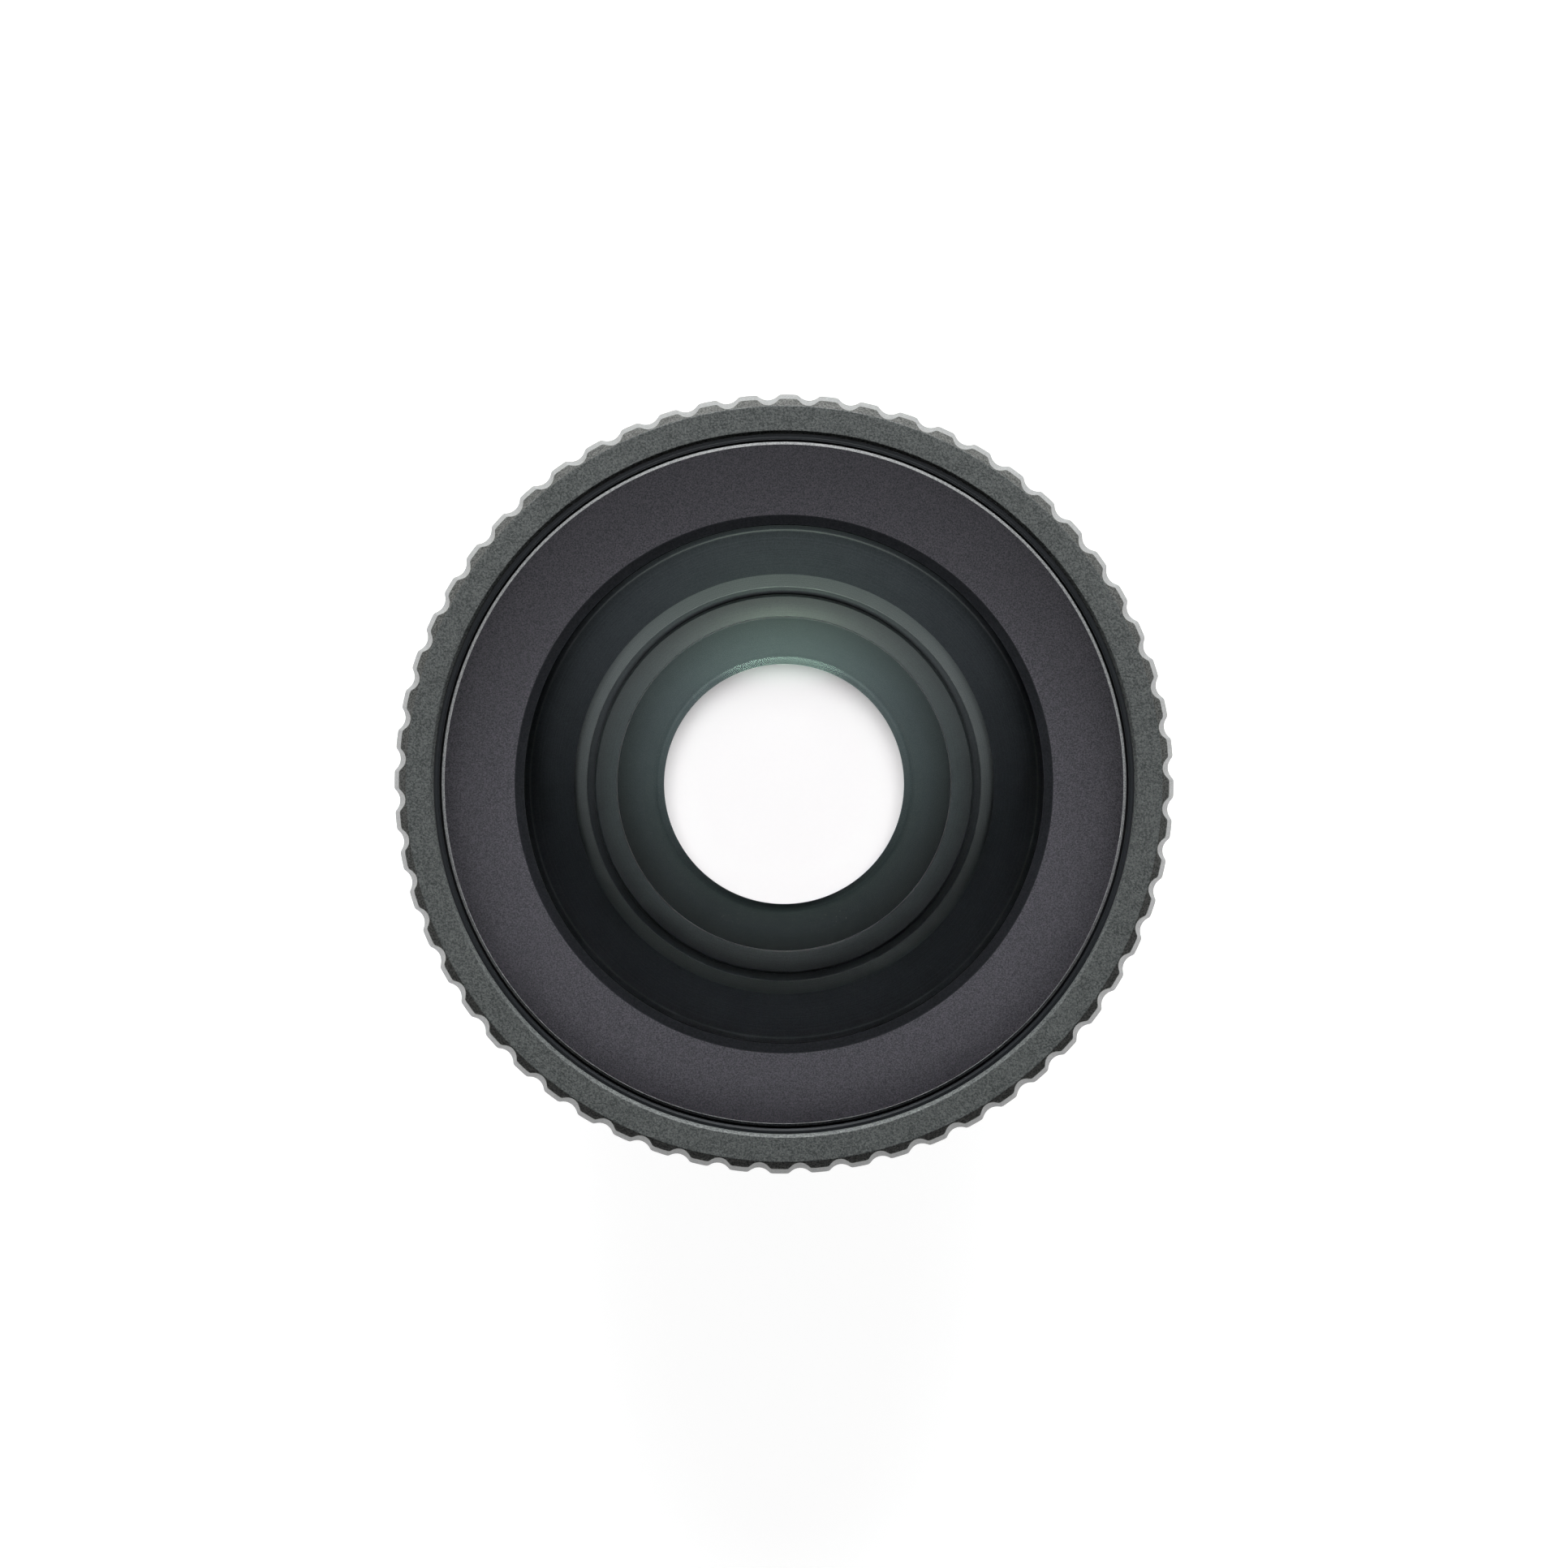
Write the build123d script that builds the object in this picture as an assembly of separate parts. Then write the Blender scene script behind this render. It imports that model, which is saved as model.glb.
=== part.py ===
from build123d import *
from math import atan, cos, radians, sqrt, tan
import os

# A wide-angle conversion lens with a scalloped grip ring. It stands on the rear end of
# its mounting thread at Z = 0, with the optical axis on Z and the front glass up.
# All lengths are in millimetres, and a "gap" is measured on the radius or along Z.

# Fits
thread_gap = 0.05  # between two threads that screw together
slide_gap = 0.05  # between a turned piece and the bore that centres it
seat_gap = 0.02  # between a flat or conical seat and polished glass
screw_gap = 0.05  # round a screw's shank

# Grip ring
flute_count = 60
flute_depth = 0.4
flute_radius = 1.0
flute_phase = 2.35  # degrees from +X to the middle of the first flute
grip_height = 8.6
grip_wall = 1.25  # bore to the bottom of a flute
grip_lead_height = 3.5  # front stretch where the flutes lean in
grip_lead_angle = 9.4  # how far they lean there
grip_front_bevel = 0.55
grip_rear_bevel = 0.4
grip_lip_thickness = 1.2
grip_lip_chamfer = 0.22

# Front glass, a negative meniscus with a flat ground and blackened rim behind
front_glass_diameter = 51.7
front_glass_radius = 180.0
front_glass_centre = 2.5
front_glass_recess = 0.1  # its crown below the grip ring's front face
front_glass_bevel = 0.65
front_glass_rear_bevel = 0.3
bowl_radius = 30.0
bowl_diameter = 39.48
air_space = 13.21  # from the bowl's crown to the rear doublet's crown

# Clamp ring on the front glass's bevel
clamp_overlap = 0.3  # how much of the bevel it covers
clamp_sight = 0.37  # width that shows inside the grip ring's lip
clamp_flange_thickness = 0.6
clamp_flange_width = 1.3
clamp_edge_chamfer = 0.15
clamp_travel = 0.15  # left for tightening, above the front barrel

# Front barrel
front_barrel_wall = 1.4
seat_width = 3.0
gasket_thickness = 0.15
gasket_margin = 0.25
band_step = 0.3  # smooth band behind the grip ring, below the bottom of a flute
band_height = 2.2
band_chamfer = 0.15
spigot_length = 2.8
spigot_wall = 2.6
o_ring_section = 0.68
o_ring_depth = 1.2  # its centre below the front barrel's end
joint_gasket_thickness = 0.2

# Lock screws of the grip ring
lock_screw_count = 3
lock_screw_diameter = 1.6
lock_screw_sink = 0.2  # below the bottom of a flute
lock_screw_socket = 0.7  # across flats
lock_screw_socket_depth = 0.6
lock_screw_height = 1.5  # above the grip ring's rear edge

# Rear barrel
shoulder_height = 1.6  # straight part below the joint
cone_length = 9.1
tail_fillet = 3.0
shoulder_fillet = 1.5
tail_chamfer = 0.35
tail_wall = 1.95  # round the rear cell
floor_thickness = 1.9  # under the rear cell

# Rear cell with a cemented doublet
cell_height = 6.8
cell_thread_width = 0.85  # from the doublet's bore out to the retaining ring's thread
cell_relief_depth = 1.1
cell_relief_step = 0.6  # from the thread out to the relief's wall
cell_rim_width = 2.1
shim_thickness = 0.3
shim_width = 3.2
doublet_diameter = 34.0
doublet_front_radius = 55.0
doublet_cement_radius = 70.0
doublet_rear_radius = 200.0
crown_edge_thickness = 1.0
flint_thickness = 1.8
doublet_lift = 0.4  # its rear crown above the cell's rear end
doublet_seat_width = 0.8

# Retaining ring of the doublet
retainer_overhang = 0.45  # how far it reaches in past the pad
retainer_travel = 0.15  # left for tightening, under its skirt
retainer_lip = 0.3
retainer_land = 0.3  # flat top edge outside the cone
retainer_rise = 0.2  # above the cell's rim
pad_width = 0.7
pad_thickness = 0.3

# Clamp ring of the rear cell
cell_clamp_height = 1.6
cell_clamp_step = 0.3  # its thread's seat below the cell's rim
cell_clamp_wall = 2.45
cell_clamp_cover = 0.7  # how far it reaches over the cell's rim
spanner_slot_width = 1.4
spanner_slot_depth = 0.7

# Inner baffle
baffle_rim_width = 2.3  # at its top, inside the front barrel
baffle_cover = 1.55  # how far its foot reaches in past the rear cell's outside
baffle_top_gap = 0.23  # below the seat of the front glass

# Rear baffle, a pressed cone
exit_inset = 5.65  # from the mount tube's wall in to the exit
rear_lip_width = 0.67
rear_lip_height = 2.6
sheet_thickness = 0.3
sheet_flange = 0.8
sheet_gap = 0.25  # from the sheet to the floor round it

# Mount ring
mount_thread_diameter = 37.0
mount_thread_length = 3.5
mount_thread_chamfer = 0.35
mount_tube_wall = 1.3
mount_flange_step = 1.0  # below the tail
mount_flange_thickness = 1.5
mount_flange_chamfer = 0.3
mount_floor_height = 1.7
mount_floor_thickness = 1.6

# Screws of the mount ring
mount_screw_count = 3
mount_screw_phase = 90.0  # degrees from +X to the first
mount_screw_diameter = 1.4
mount_screw_head = 2.4
mount_screw_head_angle = 90.0
mount_screw_margin = 0.15  # from its countersink to the mount tube's wall
mount_screw_grip = 1.1  # in the rear barrel's floor
mount_screw_slot_length = 1.44
mount_screw_slot_width = 0.35
mount_screw_slot_depth = 0.3


def sag(radius, reach):
    # how far a sphere drops from its crown at that distance from the axis
    return radius - sqrt(radius**2 - reach**2)


# Radii from the front glass outwards
glass_r = front_glass_diameter / 2
glass_bore_r = glass_r + slide_gap
front_thread_r = glass_bore_r + front_barrel_wall
grip_bore_r = front_thread_r + thread_gap
flute_floor_r = grip_bore_r + grip_wall
grip_r = flute_floor_r + flute_depth
clamp_r = glass_r - clamp_overlap
lip_r = clamp_r + clamp_sight
band_r = flute_floor_r - band_step
seat_r = glass_bore_r - seat_width
spigot_r = seat_r + spigot_wall
bowl_r = bowl_diameter / 2

# Radii from the rear doublet outwards
doublet_r = doublet_diameter / 2
doublet_bore_r = doublet_r + slide_gap
rear_seat_r = doublet_r - doublet_seat_width
cell_thread_r = doublet_bore_r + cell_thread_width
relief_r = cell_thread_r + cell_relief_step
cell_r = relief_r + cell_rim_width
cell_bore_r = cell_r + slide_gap
tail_r = cell_bore_r + tail_wall
clamp_thread_r = cell_bore_r + cell_clamp_wall - cell_clamp_cover

# Radii from the mount's thread inwards
mount_r = mount_thread_diameter / 2
tube_r = mount_r - mount_tube_wall
centring_r = tube_r - 2 * slide_gap
mount_screw_r = tube_r - mount_screw_margin - mount_screw_head / 2 - screw_gap
exit_r = tube_r - exit_inset

# Heights from the rear end up to the front face
mount_floor_top = mount_floor_height + mount_floor_thickness
flange_top = mount_thread_length + mount_flange_thickness
floor_height = flange_top + floor_thickness
cell_bottom = floor_height + shim_thickness
cell_top = cell_bottom + cell_height
cell_clamp_seat = cell_top - cell_clamp_step
cell_clamp_top = cell_top + cell_clamp_height
relief_floor = cell_top - cell_relief_depth
doublet_rear_height = cell_bottom + doublet_lift
flint_crown = doublet_rear_height + flint_thickness
doublet_seat = doublet_rear_height + sag(doublet_rear_radius, rear_seat_r)
doublet_joint = flint_crown + sag(doublet_cement_radius, doublet_r)
crown_edge = doublet_joint + crown_edge_thickness
crown_crown = crown_edge + sag(doublet_front_radius, doublet_r)
bowl_crown = crown_crown + air_space
glass_crown = bowl_crown + front_glass_centre
total_length = glass_crown + front_glass_recess

# Heights from the front face down to the joint of the barrels
grip_rear = total_length - grip_height
lip_under = total_length - grip_lip_thickness
lead_end = total_length - grip_lead_height
glass_edge = glass_crown - sag(front_glass_radius, glass_r - front_glass_bevel)
glass_rear = bowl_crown - sag(bowl_radius, bowl_r)
clamp_flange_under = lip_under - clamp_flange_thickness
front_barrel_end = clamp_flange_under - clamp_travel
glass_seat = glass_rear - gasket_thickness
band_rear = grip_rear - band_height
spigot_end = band_rear - spigot_length
joint_floor = spigot_end - joint_gasket_thickness
baffle_top = glass_seat - baffle_top_gap


def turned(outline):
    # a solid turned about the optical axis from a closed outline of (radius, height)
    return revolve(Plane.XZ * make_face(outline), Axis.Z)


def ring(*corners):
    return turned(Polyline(*corners, close=True))


def sphere_arc(crown, radius, reach):
    # the half section of a sphere from its crown out to reach; radius < 0 curves up
    drop = [crown - sag(abs(radius), x) * (1 if radius > 0 else -1) for x in (reach / 2, reach)]
    return ThreePointArc((0, crown), (reach / 2, drop[0]), (reach, drop[1]))


def round_axis(shape, count, start=0.0):
    return [Rot(0, 0, start + 360 * i / count) * shape for i in range(count)]


def solids_of(shapes):
    # separate solids that share one node
    return Compound([solid for shape in shapes for solid in shape.solids()])


def lock_screw_site(height):
    # the axis of a radial screw, pointing outwards through the middle of a flute
    return Plane(origin=(0, 0, height), x_dir=(0, 1, 0), z_dir=(1, 0, 0))


lock_screw_z = grip_rear + lock_screw_height


def grip_bezel():
    # Flat face, a bevel, then flutes that lean in at the front and run straight behind.
    lean = tan(radians(grip_lead_angle))
    face_edge_r = grip_r - grip_lead_height * lean
    bevel_r = face_edge_r - grip_front_bevel * (1 - lean)
    blank = ring(
        (lip_r + grip_lip_chamfer, total_length),
        (bevel_r, total_length),
        (bevel_r + grip_front_bevel, total_length - grip_front_bevel),
        (grip_r, lead_end),
        (grip_r, grip_rear + grip_rear_bevel),
        (grip_r - grip_rear_bevel, grip_rear),
        (grip_bore_r, grip_rear),
        (grip_bore_r, lip_under),
        (lip_r, lip_under),
        (lip_r, total_length - grip_lip_chamfer),
    )
    reach = 2 * grip_height
    cutter = Cylinder(flute_radius, reach)
    axis_r = flute_floor_r + flute_radius
    straight = Pos(axis_r, 0, lead_end) * cutter
    leaning = Pos(axis_r, 0, lead_end) * Rot(0, -grip_lead_angle, 0) * cutter
    hole = extrude(
        lock_screw_site(lock_screw_z) * Circle(lock_screw_diameter / 2 + screw_gap), 2 * grip_r
    )
    flutes = round_axis(straight, flute_count, flute_phase)
    flutes += round_axis(leaning, flute_count, flute_phase)
    return blank - flutes - round_axis(hole, lock_screw_count, flute_phase)


def bezel_lock_screws():
    # Set screws with a hexagon socket, from the front barrel out to a flute's floor.
    site = lock_screw_site(lock_screw_z)
    tip = front_thread_r
    length = flute_floor_r - lock_screw_sink - tip
    body = extrude(site.offset(tip) * Circle(lock_screw_diameter / 2), length)
    socket = extrude(
        site.offset(tip + length) * RegularPolygon(lock_screw_socket / sqrt(3), 6),
        -lock_screw_socket_depth,
    )
    return solids_of(round_axis(body - socket, lock_screw_count, flute_phase))


def front_clamp_ring():
    # Its conical foot bears on the ground bevel, and its flange lies under the grip's lip.
    foot = glass_edge - (clamp_r - (glass_r - front_glass_bevel)) + seat_gap
    return ring(
        (clamp_r + clamp_edge_chamfer, lip_under),
        (clamp_r + clamp_flange_width, lip_under),
        (clamp_r + clamp_flange_width, clamp_flange_under),
        (glass_r, clamp_flange_under),
        (glass_r, foot - clamp_overlap),
        (clamp_r, foot),
        (clamp_r, lip_under - clamp_edge_chamfer),
    )


def front_element():
    # Gently domed in front, deep spherical bowl behind inside a flat ground rim.
    bevel_r = glass_r - front_glass_bevel
    outline = sphere_arc(glass_crown, front_glass_radius, bevel_r)
    outline += Polyline(
        (bevel_r, glass_edge),
        (glass_r, glass_edge - front_glass_bevel),
        (glass_r, glass_rear + front_glass_rear_bevel),
        (glass_r - front_glass_rear_bevel, glass_rear),
        (bowl_r, glass_rear),
    )
    outline += sphere_arc(bowl_crown, bowl_radius, bowl_r)
    outline += Line((0, bowl_crown), (0, glass_crown))
    return turned(outline)


def front_seat_gasket():
    inner = seat_r + gasket_margin
    outer = glass_r - front_glass_rear_bevel
    return ring((inner, glass_seat), (outer, glass_seat), (outer, glass_rear), (inner, glass_rear))


def o_ring_groove():
    # depth and centre height of the groove in the front barrel's thread
    return o_ring_section - thread_gap + seat_gap, front_barrel_end - o_ring_depth


def front_barrel():
    groove, centre = o_ring_groove()
    half = o_ring_section / 2 + slide_gap
    return ring(
        (glass_bore_r, front_barrel_end),
        (front_thread_r - band_chamfer, front_barrel_end),
        (front_thread_r, front_barrel_end - band_chamfer),
        (front_thread_r, centre + half),
        (front_thread_r - groove, centre + half),
        (front_thread_r - groove, centre - half),
        (front_thread_r, centre - half),
        (front_thread_r, grip_rear),
        (band_r - band_chamfer, grip_rear),
        (band_r, grip_rear - band_chamfer),
        (band_r, band_rear + band_chamfer),
        (band_r - band_chamfer, band_rear),
        (spigot_r, band_rear),
        (spigot_r, spigot_end),
        (seat_r, spigot_end),
        (seat_r, glass_seat),
        (glass_bore_r, glass_seat),
    )


def bezel_o_ring():
    groove, centre = o_ring_groove()
    radius = o_ring_section / 2
    return Pos(0, 0, centre) * Torus(front_thread_r - groove + radius, radius)


def barrel_joint_gasket():
    inner = seat_r + gasket_margin
    return ring((inner, joint_floor), (spigot_r, joint_floor), (spigot_r, spigot_end), (inner, spigot_end))


def rear_cone(height):
    # radius of the rear baffle's inside at a height, from the doublet's seat to its lip
    foot_r = exit_r + rear_lip_width
    share = (height - rear_lip_height) / (cell_bottom - rear_lip_height)
    return foot_r + (rear_seat_r - foot_r) * share


def sheet_width():
    # the sheet's thickness measured along the radius on its cone
    run = rear_cone(cell_bottom) - rear_cone(rear_lip_height)
    rise = cell_bottom - rear_lip_height
    return sheet_thickness / cos(atan(run / rise))


def sheet_hole(height):
    # radius of the hole that the rear baffle passes through at a height
    return rear_cone(height) + sheet_width() + sheet_gap


def rear_barrel():
    # Straight shoulder, a cone down to the tail, and a floor that carries the rear cell.
    cone_top = band_rear - shoulder_height
    outside = Polyline(
        (spigot_r + thread_gap, band_rear),
        (band_r - band_chamfer, band_rear),
        (band_r, band_rear - band_chamfer),
        (band_r, cone_top),
        (tail_r, cone_top - cone_length),
        (tail_r, flange_top + tail_chamfer),
        (tail_r - tail_chamfer, flange_top),
        (centring_r, flange_top),
        (centring_r, mount_floor_top),
        (sheet_hole(mount_floor_top), mount_floor_top),
        (sheet_hole(floor_height), floor_height),
        (cell_bore_r, floor_height),
        (cell_bore_r, cell_clamp_seat),
        (clamp_thread_r + thread_gap, cell_clamp_seat),
        (clamp_thread_r + thread_gap, joint_floor),
        (spigot_r + thread_gap, joint_floor),
        close=True,
    )
    face = make_face(outside)
    for corner, size in (
        ((band_r, cone_top), shoulder_fillet),
        ((tail_r, cone_top - cone_length), tail_fillet),
    ):
        vertex = face.vertices().sort_by_distance((*corner, 0))[0]
        face = fillet(vertex, size)
    body = revolve(Plane.XZ * face, Axis.Z)
    hole = Pos(mount_screw_r, 0, mount_floor_top) * Cylinder(
        mount_screw_diameter / 2 + screw_gap,
        mount_screw_grip + screw_gap,
        align=(Align.CENTER, Align.CENTER, Align.MIN),
    )
    return body - round_axis(hole, mount_screw_count, mount_screw_phase)


def inner_baffle():
    # A blackened cone from under the front glass to the rear cell's rim. The front barrel's
    # bore centres it, and its shoulder rests on the rear barrel inside the joint.
    outer_r = seat_r - slide_gap
    return ring(
        (outer_r - baffle_rim_width, baffle_top),
        (outer_r, baffle_top),
        (outer_r, joint_floor),
        (clamp_thread_r, joint_floor),
        (clamp_thread_r, cell_clamp_top),
        (cell_r - baffle_cover, cell_clamp_top),
    )


def cell_clamp_ring():
    # A threaded ring with two spanner slots that holds the rear cell down by its rim.
    inner = cell_r - cell_clamp_cover
    body = ring(
        (inner, cell_clamp_top),
        (clamp_thread_r, cell_clamp_top),
        (clamp_thread_r, cell_top),
        (inner, cell_top),
    )
    slot = Pos(0, 0, cell_clamp_top - spanner_slot_depth / 2) * Box(
        2 * clamp_thread_r + spanner_slot_width, spanner_slot_width, spanner_slot_depth
    )
    return body - slot


def rear_cell():
    return ring(
        (relief_r, cell_top),
        (cell_r, cell_top),
        (cell_r, cell_bottom),
        (rear_seat_r, cell_bottom),
        (rear_seat_r, doublet_seat),
        (doublet_bore_r, doublet_seat),
        (doublet_bore_r, doublet_joint),
        (cell_thread_r, doublet_joint),
        (cell_thread_r, relief_floor),
        (relief_r, relief_floor),
    )


def rear_cell_shim():
    outer = cell_r
    inner = outer - shim_width
    return ring((inner, floor_height), (outer, floor_height), (outer, cell_bottom), (inner, cell_bottom))


def doublet_crown():
    outline = sphere_arc(crown_crown, doublet_front_radius, doublet_r)
    outline += Line((doublet_r, crown_edge), (doublet_r, doublet_joint))
    outline += sphere_arc(flint_crown, -doublet_cement_radius, doublet_r)
    outline += Line((0, flint_crown), (0, crown_crown))
    return turned(outline)


def doublet_flint():
    rear = doublet_rear_height + sag(doublet_rear_radius, doublet_r)
    outline = sphere_arc(flint_crown, -doublet_cement_radius, doublet_r)
    outline += Line((doublet_r, doublet_joint), (doublet_r, rear))
    outline += sphere_arc(doublet_rear_height, -doublet_rear_radius, doublet_r)
    outline += Line((0, doublet_rear_height), (0, flint_crown))
    return turned(outline)


def pad_under(radius):
    # height of the pad's underside, a seat's gap above the doublet's front surface
    return crown_crown - sag(doublet_front_radius, radius) + seat_gap


def doublet_pad_ring():
    inner_r = doublet_r - pad_width
    return ring(
        (inner_r, pad_under(inner_r)),
        (doublet_r, pad_under(doublet_r)),
        (doublet_r, pad_under(doublet_r) + pad_thickness),
        (inner_r, pad_under(inner_r) + pad_thickness),
    )


def doublet_retaining_ring():
    # Its open face slopes in to the doublet like a countersink, and its threaded skirt goes
    # down round the glass.
    thread_r = cell_thread_r - thread_gap
    top = cell_top + retainer_rise
    skirt_end = doublet_joint + retainer_travel
    pad_r = doublet_r - pad_width
    open_r = pad_r - retainer_overhang
    lip_under = pad_under(open_r) + pad_thickness
    return ring(
        (thread_r - retainer_land, top),
        (thread_r, top - retainer_land),
        (thread_r, skirt_end),
        (doublet_bore_r, skirt_end),
        (doublet_bore_r, pad_under(doublet_r) + pad_thickness),
        (pad_r, pad_under(pad_r) + pad_thickness),
        (open_r, lip_under),
        (open_r, lip_under + retainer_lip),
    )


def rear_baffle():
    # A pressed cone behind the doublet, with a flange above and a flat lip round the exit.
    width = sheet_width()
    under = rear_lip_height - sheet_thickness
    return ring(
        (rear_seat_r, cell_bottom),
        (exit_r + rear_lip_width, rear_lip_height),
        (exit_r, rear_lip_height),
        (exit_r, under),
        (rear_cone(under) + width, under),
        (rear_cone(floor_height) + width, floor_height),
        (rear_seat_r + sheet_flange, floor_height),
        (rear_seat_r + sheet_flange, cell_bottom),
    )


def mount_screw(clearance=0.0):
    # a countersunk head with its flat face down, and the shank above it
    head_r = mount_screw_head / 2 + clearance
    shank_r = mount_screw_diameter / 2 + clearance
    depth = (head_r - shank_r) / tan(radians(mount_screw_head_angle / 2))
    head = revolve(
        Plane.XZ * make_face(Polyline((0, 0), (head_r, 0), (shank_r, depth), (0, depth), close=True)),
        Axis.Z,
    )
    shank = Cylinder(
        shank_r,
        mount_floor_thickness + mount_screw_grip,
        align=(Align.CENTER, Align.CENTER, Align.MIN),
    )
    return Pos(mount_screw_r, 0, mount_floor_height) * (head + shank)


def mount_ring():
    # Male thread in front of a flange, and a floor inside for the screws.
    flange_r = tail_r - mount_flange_step
    body = ring(
        (tube_r, 0),
        (mount_r - mount_thread_chamfer, 0),
        (mount_r, mount_thread_chamfer),
        (mount_r, mount_thread_length),
        (flange_r - mount_flange_chamfer, mount_thread_length),
        (flange_r, mount_thread_length + mount_flange_chamfer),
        (flange_r, flange_top),
        (tube_r - slide_gap, flange_top),
        (tube_r - slide_gap, mount_floor_top),
        (sheet_hole(mount_floor_top), mount_floor_top),
        (sheet_hole(mount_floor_top), mount_floor_height),
        (tube_r, mount_floor_height),
    )
    return body - round_axis(mount_screw(screw_gap), mount_screw_count, mount_screw_phase)


def mount_screws():
    # Countersunk cross-recessed screws, heads flush in the mount ring's floor.
    slot = Box(mount_screw_slot_length, mount_screw_slot_width, 2 * mount_screw_slot_depth)
    cross = Pos(mount_screw_r, 0, mount_floor_height) * (slot + Rot(0, 0, 90) * slot)
    return solids_of(round_axis(mount_screw() - cross, mount_screw_count, mount_screw_phase))


makers = (
    grip_bezel,
    bezel_lock_screws,
    front_clamp_ring,
    front_element,
    front_seat_gasket,
    front_barrel,
    bezel_o_ring,
    barrel_joint_gasket,
    rear_barrel,
    inner_baffle,
    cell_clamp_ring,
    rear_cell,
    rear_cell_shim,
    doublet_crown,
    doublet_flint,
    doublet_pad_ring,
    doublet_retaining_ring,
    rear_baffle,
    mount_ring,
    mount_screws,
)

os.makedirs("parts", exist_ok=True)
for maker in makers:
    export_step(maker(), f"parts/{maker.__name__}.step")
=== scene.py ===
import bpy
import numpy as np
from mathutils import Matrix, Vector


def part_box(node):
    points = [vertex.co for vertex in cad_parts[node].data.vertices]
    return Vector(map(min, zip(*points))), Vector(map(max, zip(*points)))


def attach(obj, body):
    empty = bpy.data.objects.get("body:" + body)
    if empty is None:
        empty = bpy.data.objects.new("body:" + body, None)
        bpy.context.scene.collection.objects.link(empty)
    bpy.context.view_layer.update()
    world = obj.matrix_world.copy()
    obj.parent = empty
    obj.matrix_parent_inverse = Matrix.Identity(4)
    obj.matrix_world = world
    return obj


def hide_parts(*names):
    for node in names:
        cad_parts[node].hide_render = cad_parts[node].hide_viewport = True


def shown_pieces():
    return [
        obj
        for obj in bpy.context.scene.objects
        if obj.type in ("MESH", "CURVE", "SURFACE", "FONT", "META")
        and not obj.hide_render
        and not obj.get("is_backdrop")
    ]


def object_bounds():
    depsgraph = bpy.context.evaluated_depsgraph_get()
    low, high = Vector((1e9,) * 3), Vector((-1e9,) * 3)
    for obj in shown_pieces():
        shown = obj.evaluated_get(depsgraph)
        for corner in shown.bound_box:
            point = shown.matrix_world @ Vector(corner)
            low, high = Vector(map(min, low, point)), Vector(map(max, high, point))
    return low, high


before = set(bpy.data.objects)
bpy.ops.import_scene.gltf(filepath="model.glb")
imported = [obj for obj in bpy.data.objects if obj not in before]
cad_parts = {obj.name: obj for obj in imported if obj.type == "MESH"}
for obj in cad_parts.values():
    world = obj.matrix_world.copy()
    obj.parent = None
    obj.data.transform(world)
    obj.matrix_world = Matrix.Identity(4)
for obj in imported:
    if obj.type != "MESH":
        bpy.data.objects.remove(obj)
cadLow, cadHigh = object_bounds()
mm = 0.001
fullTurn = 2 * np.pi
scene = bpy.context.scene
print("frame loaded:", len(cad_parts), "nodes")


def linear(hexColour):
    # sRGB hex to linear: ((c + 0.055) / 1.055) to the power 2.4, or c / 12.92 near black
    c = np.array([int(hexColour[i:i + 2], 16) for i in (0, 2, 4)]) / 255
    return (*np.where(c > 0.04045, ((c + 0.055) / 1.055) ** 2.4, c / 12.92), 1.0)


def addNode(tree, kind, settings=None, links=None):
    # a setting is a property of the node or the value of a socket, a link is a socket's source
    node = tree.nodes.new(kind)
    for key, value in (settings or {}).items():
        if isinstance(key, str) and hasattr(node, key) and key not in node.inputs:
            setattr(node, key, value)
        else:
            node.inputs[key].default_value = value
    for key, source in (links or {}).items():
        tree.links.new(source, node.inputs[key])
    return node


def newMaterial(name):
    material = bpy.data.materials.new(name)
    material.use_nodes = True
    material.node_tree.nodes.clear()
    return material, material.node_tree


def finishMaterial(tree, shader):
    addNode(tree, "ShaderNodeOutputMaterial", links={"Surface": shader.outputs[0]})


def addToScene(name, data):
    thing = bpy.data.objects.new(name, data)
    scene.collection.objects.link(thing)
    return thing


# Light, floor and camera, in metres and degrees

studio = {
    "fill": 0.25,  # how strongly the white surround lights the object, where the camera sees 1
    "floorGrey": "E6E6E6", "floorGlow": 0.31, "floorRadius": 3.0,
    "clothGrey": "101010", "flagHeight": 0.9, "flagRadius": 0.7,
    "cards": {"frontFlag": (0, -0.8), "leftFlag": (-0.9, 0), "rightFlag": (0.9, 0)},
    "cardHeight": 0.4, "cardSize": (1.7, 1.1, 1),
    "mainSoftbox": {"tilt": 64.0, "distance": 0.9, "size": (1.1, 0.82, 1), "radiance": 18.0,
                    "fade": (0.1, 0.5)},  # shares of its side where the light starts and ends to fade
    # tilt from the optical axis, turn round it from +Y, distance, width, height, radiance
    "softboxes": {
        "groundSoftbox": (26.0, 0.0, 1.2, 1.3, 1.3, 3.75),
        "innerSoftbox": (42.0, 180.0, 0.6, 0.4, 0.4, 11.5),
        "innerFill": (3.0, 0.0, 1.0, 1.0, 1.0, 1.1),
        "rimSoftbox": (8.0, 180.0, 1.0, 0.5, 0.5, 7.8),
        "bevelSoftbox": (62.0, 0.0, 0.8, 0.4, 0.4, 20.0),
    },
    # the lamp aims at a place on the object, which is in millimetres
    "coatingGlow": {"place": (0, -0.22, 0.2), "aim": (0, 15.2, 11.5), "cone": 3.6, "lamp": 0.01,
                    "power": 3.6, "colour": "CDFFC8"},
    # the frame is 1932 pixels wide, and a pixel is 0.06 mm at the front face
    "camera": {"distance": 0.6, "pixels": 1932, "pixelSize": 0.06, "sensor": 36.0, "clip": (0.01, 10.0)},
}


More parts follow.
